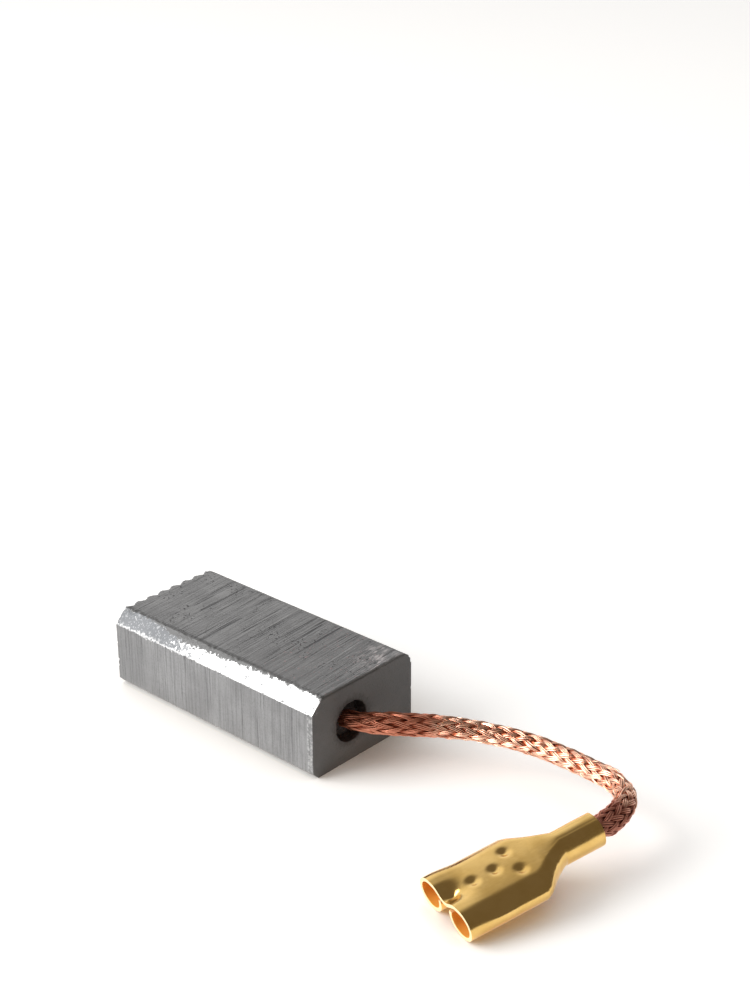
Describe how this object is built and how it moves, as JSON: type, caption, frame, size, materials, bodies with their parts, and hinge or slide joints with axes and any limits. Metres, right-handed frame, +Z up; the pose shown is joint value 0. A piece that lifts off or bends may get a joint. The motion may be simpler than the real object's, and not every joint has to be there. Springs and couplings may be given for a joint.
{
  "type": "carbon brush",
  "caption": "Rectangular sawn carbon brush block with a flexible copper braid tamped into a bore in its end and a crimped brass tab receptacle on the braid.",
  "frame": {"origin": "centre of the carbon block's underside, on the surface it lies on", "axes": "+X along the block from the contact face to the bored end that the braid leaves, +Y across the block's width, +Z up through its thickness"},
  "size_m": [0.0411, 0.0176, 0.006],
  "materials": {
    "carbon": "sawn electrographite, satin, with polished bright chamfers",
    "tamping": "tamped copper and graphite powder, matt and near black",
    "copper": "bare copper wire braid, bright with darker reddish hollows",
    "brass": "satin yellow brass sheet with bright cut edges"
  },
  "bodies": {
    "root": {"carbon_block": "carbon", "tamping_plug": "tamping", "shunt_braid": "copper", "terminal": "brass"}
  },
  "joints": []
}
